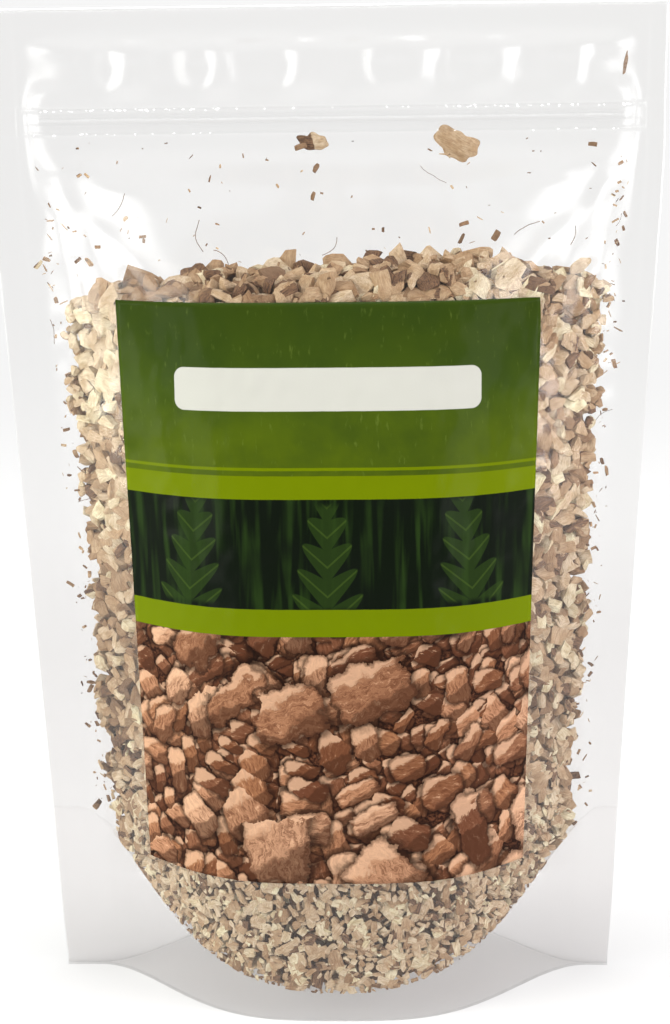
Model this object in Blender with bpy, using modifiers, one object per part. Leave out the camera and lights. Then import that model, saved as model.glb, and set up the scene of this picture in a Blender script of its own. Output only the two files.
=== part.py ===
"""A clear stand-up pouch with a press zip, filled with cut dried root.

The pouch stands on the bottom rims of its two films, at z = 0, and faces -Y.
Its shape follows from the flat bag: each level of a film keeps the length it
had when the bag lay flat, so the more it bulges, the narrower it gets.
"""

import math
import random

import bmesh
import bpy
import numpy as np
from mathutils import Matrix, Vector

MM = 0.001

# The flat bag: its side seals are unequal, so the bulge is a little off the middle
WIDTH = 160 * MM
HEIGHT = 240 * MM
LEFT_SEAL = 8.6 * MM
RIGHT_SEAL = 5.4 * MM
FILM = 0.15 * MM
GAP = 0.3 * MM
INNER_HALF = (WIDTH - LEFT_SEAL - RIGHT_SEAL) / 2
MIDDLE_X = (LEFT_SEAL - RIGHT_SEAL) / 2

# Half depth of the filled bag at its middle, by height
DEPTH = ((0, 32.5), (20, 30.4), (45, 28.4), (80, 25.4), (120, 21.4), (155, 16.2), (180, 11.4),
         (197, 6.2), (207, 1.7), (216, 1.5), (226, 2.2), (233, 0.3), (240, 0.0))
# How full its cross-section is, by height: 1.5 is pointed, 10 is nearly a flat box
FULLNESS = ((0, 1.65), (45, 1.78), (120, 1.8), (170, 1.85), (190, 2.2), (200, 4), (207, 14),
            (216, 24), (224, 8), (233, 6), (240, 6))
# Half of the space between the films at the side seals, wider where the gusset is between them
SEAL_SPACE = ((0, 0.6), (50, 0.6), (60, 0.15), (240, 0.15))

# The bottom gusset's seal is a U: low in the middle, high at the sides
SEAL_LOW = 6.5 * MM
SEAL_RISE = 36 * MM
GUSSET_SAG = 1.5 * MM

# Press zip
ZIP_LOW = 210.6 * MM
ZIP_HIGH = 216.8 * MM
ZIP_HALF_LENGTH = 69 * MM
ZIP_TAPE = 0.3 * MM
ZIP_HALF_THICKNESS = 1.15 * MM

# Label
LABEL_HALF = 51.25 * MM
LABEL_X = -1.2 * MM
LABEL_LOW = 34.4 * MM
LABEL_HIGH = 172.4 * MM
LABEL_SHEET = 0.12 * MM

# Filling
FILL_CLEARANCE = 0.5 * MM
FILL_EDGE = 65.5 * MM
HEAP_FRONT = 169.5 * MM
HEAP_SLOPE = 0.14
HEAP_RIGHT_RISE = 4.5 * MM
CHIP_PITCH = (7.0 * MM, 6.6 * MM)
CHIP_HALF = (3.2 * MM, 2.6 * MM, 2.0 * MM)


def through(stations, at):
    """Value at one place of the monotone cubic curve through (place, value) stations."""
    places, values = np.array(stations, float).T
    steps = np.diff(places)
    slopes = np.diff(values) / steps
    product = slopes[:-1] * slopes[1:]
    total = slopes[:-1] + slopes[1:]
    tangents = np.zeros_like(values)
    tangents[1:-1] = np.where(product > 0, 2 * product / np.where(total == 0, 1, total), 0)
    tangents[0] = slopes[0]
    tangents[-1] = slopes[-1]
    i = int(np.clip(np.searchsorted(places, at, "right") - 1, 0, len(steps) - 1))
    t = min(max((at - places[i]) / steps[i], 0), 1)
    start = (1 + 2 * t) * (1 - t) ** 2 * values[i] + t * (1 - t) ** 2 * steps[i] * tangents[i]
    end = t * t * (3 - 2 * t) * values[i + 1] + t * t * (t - 1) * steps[i] * tangents[i + 1]
    return start + end


def swell(t, power):
    """Cross-section of the bulge: 1 at the middle, 0 at the side seal."""
    return 0.5 * (1 + np.cos(np.pi * np.clip(np.abs(t), 0, 1) ** power))


levels = {}


def level(z):
    """One level of the film: its inner half chord, bulge, fullness, and lengths run along it."""
    z = round(min(max(z, 2 * MM), HEIGHT - 2 * MM), 6)
    if z not in levels:
        depth = through(DEPTH, z / MM) * MM
        power = through(FULLNESS, z / MM)
        t = np.linspace(0, 1, 81)
        y = depth * swell(t, power)
        chord = INNER_HALF
        for _ in range(10):
            run = np.concatenate(([0], np.cumsum(np.hypot(np.diff(chord * t), np.diff(y)))))
            chord *= INNER_HALF / run[-1]
        levels[z] = (chord, depth, power, run * INNER_HALF / run[-1], t)
    return levels[z]


def film_surface(u, z):
    """Point on the inside of the front film: u is the distance along the film from its middle."""
    chord, depth, power, run, t = level(z)
    space = through(SEAL_SPACE, z / MM) * MM
    if abs(u) >= INNER_HALF:
        return Vector((MIDDLE_X + math.copysign(chord + abs(u) - INNER_HALF, u), -space, z))
    here = float(np.interp(abs(u), run, t))
    bulge = space + depth * float(swell(here, power))
    return Vector((MIDDLE_X + math.copysign(chord * here, u), -bulge, z))


def film_point(u, z, outward=0.0):
    """The same point, moved outward along the film's own normal."""
    point = film_surface(u, z)
    if outward == 0:
        return point
    step = 0.5 * MM
    across = film_surface(u + step, z) - film_surface(u - step, z)
    up = film_surface(u, min(z + step, HEIGHT)) - film_surface(u, max(z - step, 0))
    normal = across.cross(up)
    if normal.y > 0:
        normal.negate()
    normal.z = 0 if z < 3 * MM else normal.z
    return point + normal.normalized() * outward


def half_space(x, z):
    """Half of the space between the films at a place inside the bag."""
    chord, depth, power, _, _ = level(z)
    space = through(SEAL_SPACE, z / MM) * MM
    if abs(x - MIDDLE_X) >= chord:
        return space
    return space + depth * float(swell((x - MIDDLE_X) / chord, power))


def seal_height(u):
    return SEAL_LOW + SEAL_RISE * min(abs(u) / INNER_HALF, 1) ** 2


def arch_height(x):
    """Height of the top of the gusset's arch at a place across the bag."""
    z = SEAL_LOW
    for _ in range(8):
        chord, _, _, run, t = level(z)
        z = seal_height(float(np.interp(abs(x - MIDDLE_X) / chord, t, run)))
    return z + FILM


pouch = bpy.data.collections.new("filled_pouch")


def start_scene():
    for obj in list(bpy.data.objects):
        bpy.data.objects.remove(obj, do_unlink=True)
    bpy.context.scene.collection.children.link(pouch)


def material(name, colour, roughness, alpha=1.0):
    made = bpy.data.materials.new(name)
    made.use_nodes = True
    shader = made.node_tree.nodes["Principled BSDF"]
    shader.inputs["Base Color"].default_value = (*colour, 1.0)
    shader.inputs["Roughness"].default_value = roughness
    shader.inputs["Metallic"].default_value = 0.0
    shader.inputs["Alpha"].default_value = alpha
    return made


def place(name, data, look, smooth=True):
    obj = bpy.data.objects.new(name, data)
    pouch.objects.link(obj)
    data.materials.append(look)
    if smooth and obj.type == "MESH":
        data.shade_smooth()
        data.set_sharp_from_angle(angle=math.radians(35))
    return obj


def sheet(name, columns, rows, position, look, thickness):
    """A flat grid, bent to position(column, row), then thickened outward."""
    bm = bmesh.new()
    bmesh.ops.create_grid(bm, x_segments=len(columns) - 1, y_segments=len(rows) - 1, size=0.5)
    for vert in bm.verts:
        column = columns[round((vert.co.x + 0.5) * (len(columns) - 1))]
        row = rows[round((vert.co.y + 0.5) * (len(rows) - 1))]
        vert.co = position(column, row)
    bm.normal_update()
    if sum(face.normal.y * face.calc_center_median().y for face in bm.faces) < 0:
        bmesh.ops.reverse_faces(bm, faces=bm.faces)
    data = bpy.data.meshes.new(name)
    bm.to_mesh(data)
    bm.free()
    obj = place(name, data, look)
    shell = obj.modifiers.new("thickness", "SOLIDIFY")
    shell.thickness = thickness
    shell.offset = 1
    return obj


def spread(start, end, count):
    return [start + (end - start) * i / count for i in range(count + 1)]


LABEL_COLUMNS = spread(LABEL_X - LABEL_HALF, LABEL_X + LABEL_HALF, 12)
SIDE_COLUMNS = [57 * MM, 62 * MM, 66.5 * MM, 70 * MM, INNER_HALF]
COLUMNS = ([-INNER_HALF - LEFT_SEAL] + [-u for u in reversed(SIDE_COLUMNS)] + LABEL_COLUMNS
           + SIDE_COLUMNS + [INNER_HALF + RIGHT_SEAL])
LABEL_ROWS = spread(LABEL_LOW, LABEL_HIGH, 10)
LOW_ROWS = [0, 2 * MM, 18 * MM]
HIGH_ROWS = [184 * MM, 195 * MM, 203 * MM, 209 * MM, 217 * MM, 226 * MM, 233 * MM,
             HEIGHT - 2 * MM, HEIGHT]


def films(look):
    sheet("front_film", COLUMNS, LOW_ROWS + LABEL_ROWS + HIGH_ROWS, film_point, look, FILM)

    def behind(u, z):
        point = film_point(u, z)
        return Vector((point.x, -point.y, point.z))

    sheet("back_film", COLUMNS, LOW_ROWS + LABEL_ROWS[:2] + LABEL_ROWS[2::2] + HIGH_ROWS,
          behind, look, FILM)


def gusset(look):
    """Front flap, arch and back flap, in one sheet."""
    inset = -(GAP + FILM)
    path = [-1.3, -1.27, -1.13] + spread(-1, 1, 6) + [1.13, 1.27, 1.3]

    def position(u, t):
        top = seal_height(u)
        corner = film_point(u, top, inset)
        if abs(t) <= 1:
            sag = GUSSET_SAG * (1 - t * t) * min(abs(corner.y) / (20 * MM), 1)
            return Vector((corner.x, -corner.y * t, top - sag))
        down = (abs(t) - 1) / 0.3
        low = 0.25 * MM
        point = film_point(u, low + (top - low) * (1 - down), inset)
        return Vector((point.x, math.copysign(point.y, t), point.z))

    bm = bmesh.new()
    bmesh.ops.create_grid(bm, x_segments=len(COLUMNS) - 1, y_segments=len(path) - 1, size=0.5)
    for vert in bm.verts:
        u = COLUMNS[round((vert.co.x + 0.5) * (len(COLUMNS) - 1))]
        t = path[round((vert.co.y + 0.5) * (len(path) - 1))]
        vert.co = position(u, t)
    bm.normal_update()
    if sum(face.normal.z * face.calc_area() for face in bm.faces) < 0:
        bmesh.ops.reverse_faces(bm, faces=bm.faces)
    data = bpy.data.meshes.new("bottom_gusset")
    bm.to_mesh(data)
    bm.free()
    obj = place("bottom_gusset", data, look)
    shell = obj.modifiers.new("thickness", "SOLIDIFY")
    shell.thickness = FILM
    shell.offset = 1
    shell.use_even_offset = True


def strip(name, outline, look):
    """A zip strip: its (y, z) outline as a flat curve, drawn out along X."""
    curve = bpy.data.curves.new(name, "CURVE")
    curve.dimensions = "2D"
    curve.fill_mode = "BOTH"
    curve.extrude = ZIP_HALF_LENGTH
    line = curve.splines.new("POLY")
    line.points.add(len(outline) - 1)
    for point, (y, z) in zip(line.points, outline):
        point.co = (y, z, 0, 1)
    line.use_cyclic_u = True
    obj = place(name, curve, look, smooth=False)
    # The outline's own X, Y and Z become the world's Y, Z and X.
    obj.rotation_euler = Matrix(((0, 0, 1), (1, 0, 0), (0, 1, 0))).to_euler()
    obj.location.x = MIDDLE_X


def zips(look):
    middle = (ZIP_LOW + ZIP_HIGH) / 2
    face = ZIP_HALF_THICKNESS
    inner = face - ZIP_TAPE
    arm_out, arm_in, lip = 1.25 * MM, 0.9 * MM, 0.5 * MM
    reach = inner - GAP
    lip_depth = 0.35 * MM
    upper = [(reach, arm_out), (reach, lip), (reach - lip_depth, lip), (reach - lip_depth, arm_in)]
    channel = [(-face, ZIP_LOW), (-face, ZIP_HIGH), (-inner, ZIP_HIGH), (-inner, middle + arm_out)]
    channel += [(y, middle + z) for y, z in upper]
    channel += [(-inner, middle + arm_in), (-inner, middle - arm_in)]
    channel += [(y, middle - z) for y, z in reversed(upper)]
    channel += [(-inner, middle - arm_out), (-inner, ZIP_LOW)]
    strip("zip_front", channel, look)
    stem, head = 0.2 * MM, 0.6 * MM
    tip = -inner + GAP
    neck = reach - lip_depth - GAP
    rib = [(face, ZIP_LOW), (inner, ZIP_LOW), (inner, middle - stem), (neck, middle - stem)]
    rib += [(neck, middle - head), (tip, middle - stem), (tip, middle + stem), (neck, middle + head)]
    rib += [(neck, middle + stem), (inner, middle + stem), (inner, ZIP_HIGH), (face, ZIP_HIGH)]
    strip("zip_back", rib, look)


def heap_top(x, y):
    """Height of the heap: it rises to the back and a little to the right."""
    rightward = 0.5 + 0.5 * math.tanh((x + 12 * MM) / (24 * MM))
    return HEAP_FRONT + HEAP_SLOPE * (y + 12 * MM) + HEAP_RIGHT_RISE * rightward


def fill_half_width(z):
    """Half width of the filling: it ends where the films come within a few millimetres."""
    chord, _, _, run, t = level(z)
    return chord * float(np.interp(FILL_EDGE, run, t))


def fill(look, rng):
    """A block cut into cells, then fitted to the inside of the bag, with a chipped surface."""
    bm = bmesh.new()
    bmesh.ops.create_cube(bm, size=2)
    for axis, cells in ((0, 18), (1, 4), (2, 20)):
        normal = Vector((0, 0, 0))
        normal[axis] = 1
        for i in range(1, cells):
            geometry = bm.verts[:] + bm.edges[:] + bm.faces[:]
            bmesh.ops.bisect_plane(bm, geom=geometry, dist=1e-6, plane_co=normal * (2 * i / cells - 1),
                                   plane_no=normal)
    for vert in bm.verts:
        across, through_bag, height = vert.co
        shared = (height + 1) / 2
        x = y = 0
        # The floor and the top depend on the place, and the width on the height, so it settles in steps.
        z = 40 * MM + shared * 135 * MM
        for _ in range(6):
            x = MIDDLE_X + across * fill_half_width(z)
            low = arch_height(x) + FILL_CLEARANCE
            y = through_bag * (half_space(x, max(z, low)) - FILL_CLEARANCE)
            z = low + shared * (heap_top(x, y) - low)
        dent = rng.uniform(0, min(1.1 * MM, 0.3 * abs(y))) if 0.02 < shared < 0.98 else 0
        vert.co = Vector((x, y - math.copysign(dent, y), z))
    bmesh.ops.recalc_face_normals(bm, faces=bm.faces)
    data = bpy.data.meshes.new("root_fill")
    bm.to_mesh(data)
    bm.free()
    place("root_fill", data, look, smooth=False)


def chip_mesh(name, half, rng, cuts=7):
    """One chip: a block with its corners split off by slanting cuts."""
    bm = bmesh.new()
    bmesh.ops.create_cube(bm, size=2)
    for _ in range(cuts):
        normal = Vector([rng.gauss(0, 1) for _ in range(3)]).normalized()
        distance = rng.uniform(0.72, 0.98)
        cut = bmesh.ops.bisect_plane(bm, geom=bm.verts[:] + bm.edges[:] + bm.faces[:], dist=1e-5,
                                     plane_co=normal * distance, plane_no=normal, clear_outer=True)
        rim = [item for item in cut["geom_cut"] if isinstance(item, bmesh.types.BMEdge)]
        if rim:
            bmesh.ops.edgeloop_fill(bm, edges=rim)
    bmesh.ops.scale(bm, vec=half, verts=bm.verts)
    bmesh.ops.triangulate(bm, faces=bm.faces)
    bmesh.ops.remove_doubles(bm, verts=bm.verts, dist=0.01 * MM)
    bmesh.ops.recalc_face_normals(bm, faces=bm.faces)
    data = bpy.data.meshes.new(name)
    bm.to_mesh(data)
    bm.free()
    return data


def lay_chip(name, data, centre, turn, look):
    obj = place(name, data, look, smooth=False)
    obj.rotation_euler = turn
    obj.location = centre
    return obj


def settle(obj, spare):
    """Lowers the chip onto the heap, and shrinks it if it would touch a neighbour or a film."""
    reach = [(pitch - GAP) / 2 for pitch in CHIP_PITCH]
    for _ in range(20):
        turned = [obj.rotation_euler.to_matrix() @ vert.co * obj.scale[0] for vert in obj.data.vertices]
        lift = max(heap_top(obj.location.x + v.x, obj.location.y + v.y) - v.z for v in turned)
        obj.location.z = lift + GAP + spare
        points = [obj.location + v for v in turned]
        room = min(half_space(p.x, p.z) - abs(p.y) for p in points)
        inside = all(abs(v.x) < reach[0] and abs(v.y) < reach[1] for v in turned)
        if room > 0.4 * MM and inside:
            return
        obj.scale = obj.scale * 0.94


def top_chips(looks, rng):
    number = 0
    pitch_x, pitch_y = CHIP_PITCH
    for column in range(-9, 9):
        x = MIDDLE_X + (column + 0.5) * pitch_x
        room = half_space(x, HEAP_FRONT + 5 * MM) - 0.4 * MM
        if room < 2.2 * MM:
            continue
        rows = min(max(int(2 * room // pitch_y), 1), 3)
        for row in range(rows):
            y = (row - (rows - 1) / 2) * pitch_y
            number += 1
            name = f"top_chip_{number:02d}"
            half = [size * rng.uniform(0.86, 1.0) for size in CHIP_HALF]
            turn = (rng.uniform(-0.3, 0.3), rng.uniform(-0.3, 0.3), rng.uniform(0, math.tau))
            chip = lay_chip(name, chip_mesh(name, half, rng), (x, y, 0), turn,
                            looks[number % len(looks)])
            settle(chip, rng.uniform(0, 0.5 * MM))


def main():
    start_scene()
    rng = random.Random(17)
    clear = material("clear_film", (0.93, 0.93, 0.93), 0.08, 0.25)
    zip_plastic = material("zip_plastic", (0.92, 0.92, 0.93), 0.2, 0.5)
    printed = material("label_print", (0.05, 0.13, 0.03), 0.25)
    cream = material("root_cream", (0.60, 0.47, 0.28), 0.85)
    tan = material("root_tan", (0.46, 0.32, 0.17), 0.85)
    bark = material("root_bark", (0.22, 0.14, 0.08), 0.9)
    films(clear)
    gusset(clear)
    zips(zip_plastic)
    sheet("label", LABEL_COLUMNS, LABEL_ROWS,
          lambda u, z: film_point(u, z, FILM + GAP), printed, LABEL_SHEET)
    fill(cream, rng)
    top_chips([cream, tan, cream, tan, bark], rng)
    left = chip_mesh("chip_by_zip_left", (3.6 * MM, 0.8 * MM, 2.0 * MM), rng)
    lay_chip("chip_by_zip_left", left, (-2.6 * MM, 0, 208.3 * MM), (0, 0.12, 0), bark)
    right = chip_mesh("chip_by_zip_right", (5.3 * MM, 0.95 * MM, 2.9 * MM), rng)
    lay_chip("chip_by_zip_right", right, (31.2 * MM, 0, 206.7 * MM), (0, 0.35, 0), tan)


main()
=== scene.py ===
import math
import random

import bmesh
import bpy
import numpy as np
from mathutils import Matrix, Vector


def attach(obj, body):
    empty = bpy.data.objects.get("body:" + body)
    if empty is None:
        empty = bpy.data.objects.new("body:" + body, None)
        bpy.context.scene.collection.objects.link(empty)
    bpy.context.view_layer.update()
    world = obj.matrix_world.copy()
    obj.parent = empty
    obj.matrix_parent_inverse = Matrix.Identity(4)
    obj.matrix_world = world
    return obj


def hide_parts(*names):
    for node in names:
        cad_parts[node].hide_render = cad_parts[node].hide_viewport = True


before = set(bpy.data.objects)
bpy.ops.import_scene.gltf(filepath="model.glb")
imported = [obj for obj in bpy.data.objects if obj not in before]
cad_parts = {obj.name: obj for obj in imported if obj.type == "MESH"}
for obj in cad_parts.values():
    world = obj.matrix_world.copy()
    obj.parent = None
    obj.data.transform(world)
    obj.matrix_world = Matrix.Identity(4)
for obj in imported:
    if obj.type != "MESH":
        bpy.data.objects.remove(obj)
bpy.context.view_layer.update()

MM = 0.001

# The flat bag, in millimetres: its height, the film's thickness, half the width between the side
# welds, and how far that stretch stands off the middle, since the left weld is the wider one
HEIGHT = 240.0
FILM = 0.15
INNER_HALF = 73.0
MIDDLE_X = 1.6

# Half depth, fullness and seal spacing of the filled bag, by height
DEPTH = ((0, 32.5), (20, 30.4), (45, 28.4), (80, 25.4), (120, 21.4), (155, 16.2), (180, 11.4),
         (197, 6.2), (207, 1.7), (216, 1.5), (226, 2.2), (233, 0.3), (240, 0.0))
FULLNESS = ((0, 1.65), (45, 1.78), (120, 1.8), (170, 1.85), (190, 2.2), (200, 4), (207, 14),
            (216, 24), (224, 8), (233, 6), (240, 6))
SEAL_SPACE = ((0, 0.6), (50, 0.6), (60, 0.15), (240, 0.15))

# The gusset's weld line at the middle, its rise to the sides, and how far the sheet sags between
SEAL_LOW = 6.5
SEAL_RISE = 36.0
GUSSET_SAG = 1.5

# The zip tape, the header between it and the top weld, and the header's half depth between buckles
ZIP_LOW = 210.6
ZIP_HIGH = 216.8
ZIP_MIDDLE = 213.7
HEADER_LOW = 217.4
HEADER_HIGH = 234.2
HEADER_MIDDLE = 226
HEADER_STAND = 1.8

LABEL_HALF = 51.25
LABEL_X = -1.2
LABEL_LOW = 34.4
LABEL_HIGH = 172.4

# Top of the heap at the front film, its slope to the back and its rise to the right
HEAP_FRONT = 169.5
HEAP_SLOPE = 0.14
HEAP_RIGHT_RISE = 4.5

# Below this height the filling is small flakes
FLAKES_TO = 46


def through(stations, at):
    """Monotone cubic curve through (place, value) stations, read at each place."""
    places, values = np.array(stations, float).T
    steps = np.diff(places)
    slopes = np.diff(values) / steps
    product = slopes[:-1] * slopes[1:]
    total = slopes[:-1] + slopes[1:]
    tangents = np.zeros_like(values)
    tangents[1:-1] = np.where(product > 0, 2 * product / np.where(total == 0, 1, total), 0)
    tangents[0] = slopes[0]
    tangents[-1] = slopes[-1]
    at = np.asarray(at, float)
    i = np.clip(np.searchsorted(places, at, "right") - 1, 0, len(steps) - 1)
    t = np.clip((at - places[i]) / steps[i], 0, 1)
    start = (1 + 2 * t) * (1 - t) ** 2 * values[i] + t * (1 - t) ** 2 * steps[i] * tangents[i]
    return start + t * t * (3 - 2 * t) * values[i + 1] + t * t * (t - 1) * steps[i] * tangents[i + 1]


def swell(t, power):
    return 0.5 * (1 + np.cos(np.pi * np.clip(np.abs(t), 0, 1) ** power))


# Chord and running length of the film at each whole millimetre of height
LEVELS = np.arange(0, 241.0)
SHARE = np.linspace(0, 1, 81)
CHORD = np.zeros(len(LEVELS))
RUN = np.zeros((len(LEVELS), len(SHARE)))
for n, height in enumerate(np.clip(LEVELS, 2, HEIGHT - 2)):
    rise = float(through(DEPTH, height)) * swell(SHARE, float(through(FULLNESS, height)))
    chord = INNER_HALF
    for _ in range(10):
        run = np.concatenate(([0], np.cumsum(np.hypot(np.diff(chord * SHARE), np.diff(rise)))))
        chord *= INNER_HALF / run[-1]
    CHORD[n] = chord
    RUN[n] = run * INNER_HALF / run[-1]


def settled(z):
    return np.clip(z, 2, HEIGHT - 2)


def chord_at(z):
    return np.interp(settled(z), LEVELS, CHORD)


def run_to_share(u, z):
    """Share of the half chord that a running length reaches, at each height."""
    low = np.clip(np.floor(settled(z)).astype(int), 0, len(LEVELS) - 2)
    part = settled(z) - low
    u = np.abs(np.asarray(u, float))
    out = np.zeros(np.broadcast(u, z).shape)
    for level in np.unique(low):
        here = low == level
        first = np.interp(u[here], RUN[level], SHARE)
        second = np.interp(u[here], RUN[level + 1], SHARE)
        out[here] = first * (1 - part[here]) + second * part[here]
    return out


def half_space(x, z):
    """Half of the space between the films at places inside the bag."""
    share = np.abs(x - MIDDLE_X) / chord_at(z)
    depth = through(DEPTH, settled(z)) * swell(share, through(FULLNESS, settled(z)))
    return through(SEAL_SPACE, z) + np.where(share < 1, depth, 0)


def film_place(u, z):
    """(x, half depth) of the film's inside, for running lengths u and heights z."""
    u, z = np.broadcast_arrays(np.asarray(u, float), np.asarray(z, float))
    share = run_to_share(np.minimum(np.abs(u), INNER_HALF), z)
    x = chord_at(z) * share + np.maximum(np.abs(u) - INNER_HALF, 0)
    depth = np.where(np.abs(u) < INNER_HALF,
                     through(DEPTH, settled(z)) * swell(share, through(FULLNESS, settled(z))), 0)
    return MIDDLE_X + np.sign(u) * x, through(SEAL_SPACE, z) + depth


def seal_height(u):
    return SEAL_LOW + SEAL_RISE * np.minimum(np.abs(u) / INNER_HALF, 1) ** 2


def arch_height(x):
    """Height of the gusset's arch across the bag."""
    z = np.full(np.shape(x), SEAL_LOW, float)
    for _ in range(6):
        share = np.clip(np.abs(x - MIDDLE_X) / chord_at(z), 0, 1)
        low = np.clip(np.floor(settled(z)).astype(int), 0, len(LEVELS) - 2)
        column = share * (len(SHARE) - 1)
        left = np.clip(np.floor(column).astype(int), 0, len(SHARE) - 2)
        length = RUN[low, left] + (column - left) * (RUN[low, left + 1] - RUN[low, left])
        z = seal_height(length)
    return z + FILM


def heap_top(x, y):
    rightward = 0.5 + 0.5 * np.tanh((x + 12) / 24)
    return HEAP_FRONT + HEAP_SLOPE * (y + 12) + HEAP_RIGHT_RISE * rightward


# Materials


class Graph:
    """A material's node tree, with short calls for the nodes that it uses."""

    def __init__(self, name):
        self.material = bpy.data.materials.new(name)
        self.material.use_nodes = True
        self.tree = self.material.node_tree
        self.tree.nodes.clear()

    def node(self, kind, inputs=None, **settings):
        made = self.tree.nodes.new(kind)
        for key, value in settings.items():
            setattr(made, key, value)
        for key, value in (inputs or {}).items():
            if isinstance(value, bpy.types.NodeSocket):
                self.tree.links.new(value, made.inputs[key])
            else:
                made.inputs[key].default_value = value
        return made

    def math(self, operation, *values, clamp=False):
        made = self.node("ShaderNodeMath", dict(enumerate(values)), operation=operation)
        made.use_clamp = clamp
        return made.outputs[0]

    def step(self, value, low, high):
        """0 below low, 1 above high, smooth between."""
        return self.node("ShaderNodeMapRange", {"Value": value, "From Min": low, "From Max": high},
                         interpolation_type="SMOOTHSTEP").outputs[0]

    def mix(self, factor, first, second, blend="MIX"):
        made = self.node("ShaderNodeMix", data_type="RGBA", blend_type=blend)
        for socket, value in ((0, factor), (6, first), (7, second)):
            if isinstance(value, bpy.types.NodeSocket):
                self.tree.links.new(value, made.inputs[socket])
            elif socket == 0:
                made.inputs[0].default_value = value
            else:
                made.inputs[socket].default_value = (*value, 1)
        return made.outputs[2]

    def ramp(self, value, stops, interpolation="LINEAR"):
        made = self.node("ShaderNodeValToRGB", {"Fac": value})
        made.color_ramp.interpolation = interpolation
        points = made.color_ramp.elements
        while len(points) < len(stops):
            points.new(0.5)
        for point, (place, colour) in zip(points, stops):
            point.position = place
            point.color = (*colour, 1)
        return made.outputs[0]

    def noise(self, vector, scale, detail=3.0, rough=0.5, distortion=0.0):
        return self.node("ShaderNodeTexNoise", {"Vector": vector, "Scale": scale, "Detail": detail,
                                                "Roughness": rough, "Distortion": distortion}).outputs[0]

    def place(self):
        return self.node("ShaderNodeTexCoord").outputs["Object"]

    def scaled(self, vector, scale):
        return self.node("ShaderNodeMapping", {"Vector": vector, "Scale": scale}).outputs[0]

    def attribute(self, name, output="Fac"):
        return self.node("ShaderNodeAttribute", attribute_name=name).outputs[output]

    def bump(self, height, distance, strength=1.0):
        return self.node("ShaderNodeBump", {"Height": height, "Distance": distance,
                                            "Strength": strength}).outputs[0]

    def finish(self, shader):
        out = self.node("ShaderNodeOutputMaterial")
        self.tree.links.new(shader, out.inputs["Surface"])
        return self.material


def srgb(red, green, blue):
    """Linear colour from 0 to 255 display values."""
    return tuple((v / 255 / 12.92) if v < 10.3 else ((v / 255 + 0.055) / 1.055) ** 2.4
                 for v in (red, green, blue))


# Heights in metres: a film with a foot tint, a painted shade that darkens it low down, has it in full below
# the first, none above the second
SHADE_FULL_BELOW = 0.08
SHADE_NONE_ABOVE = 0.15


def clear_plastic(name, tint, gloss_share, roughness, foot_shade_tint=None):
    """Thin clear film: light goes straight through, less its tint and what its gloss sends back.
    The gloss of both faces is on the one that light enters by. With a foot tint it is darker low down:
    painted shade."""
    g = Graph(name)
    facing = g.node("ShaderNodeLayerWeight", {"Blend": 0.5}).outputs["Facing"]
    share = g.math("MULTIPLY_ADD", g.math("POWER", facing, 4.0), 0.9 - gloss_share, gloss_share)
    leaving = g.node("ShaderNodeNewGeometry").outputs["Backfacing"]
    share = g.math("MULTIPLY", share, g.math("SUBTRACT", 1.0, leaving))
    colour = (*tint, 1)
    if foot_shade_tint:
        # The foot tint is painted shade: in full low down, none higher up.
        height = g.node("ShaderNodeSeparateXYZ", {"Vector": g.place()}).outputs[2]
        dull = g.math("SUBTRACT", 1.0, g.step(height, SHADE_FULL_BELOW, SHADE_NONE_ABOVE))
        colour = g.mix(dull, tint, foot_shade_tint)
    through_it = g.node("ShaderNodeBsdfTransparent", {"Color": colour}).outputs[0]
    gloss = g.node("ShaderNodeBsdfGlossy", {"Color": (1, 1, 1, 1), "Roughness": roughness}).outputs[0]
    return g.finish(g.node("ShaderNodeMixShader", {0: share, 1: through_it, 2: gloss}).outputs[0])


def cut_root():
    """Dried root: cream to tan cut faces with fibres, and brown bark where the piece has its skin."""
    g = Graph("cut_dried_root")
    tone = g.attribute("tone")
    bark = g.attribute("bark")
    grain = g.attribute("grain", "Vector")
    blotch = g.noise(grain, 0.45, 2, 0.6)
    fibres = g.noise(g.scaled(grain, (0.5, 3.4, 3.4)), 1.0, 3, 0.65)
    pale = g.ramp(tone, ((0.0, srgb(116, 88, 64)), (0.16, srgb(166, 134, 100)), (0.45, srgb(202, 174, 140)),
                         (0.75, srgb(223, 204, 176)), (1.0, srgb(244, 238, 206))))
    shade = g.mix(g.step(blotch, 0.32, 0.66), (0.80, 0.72, 0.62), (1.0, 1.0, 1.0))
    colour = g.mix(1.0, pale, shade, "MULTIPLY")
    stripe = g.mix(g.step(fibres, 0.34, 0.6), (0.66, 0.58, 0.50), (1.0, 1.0, 1.0))
    colour = g.mix(0.8, colour, stripe, "MULTIPLY")
    edge = g.math("MULTIPLY_ADD", g.math("SUBTRACT", blotch, 0.5), 1.3, bark)
    skin = g.mix(g.step(fibres, 0.35, 0.65), srgb(74, 48, 30), srgb(134, 98, 66))
    colour = g.mix(g.step(edge, 0.45, 0.62), colour, skin)
    shader = g.node("ShaderNodeBsdfPrincipled", {"Base Color": colour, "Roughness": 0.8,
                                                 "Normal": g.bump(fibres, 0.0004, 0.9)})
    return g.finish(shader.outputs[0])


def plain_root(name, colour):
    g = Graph(name)
    mottle = g.noise(g.place(), 900, 3, 0.6)
    tone = g.mix(g.step(mottle, 0.3, 0.7), tuple(c * 0.6 for c in colour), colour)
    shader = g.node("ShaderNodeBsdfPrincipled", {"Base Color": tone, "Roughness": 0.85,
                                                 "Normal": g.bump(mottle, 0.0003, 0.8)})
    return g.finish(shader.outputs[0])


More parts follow.
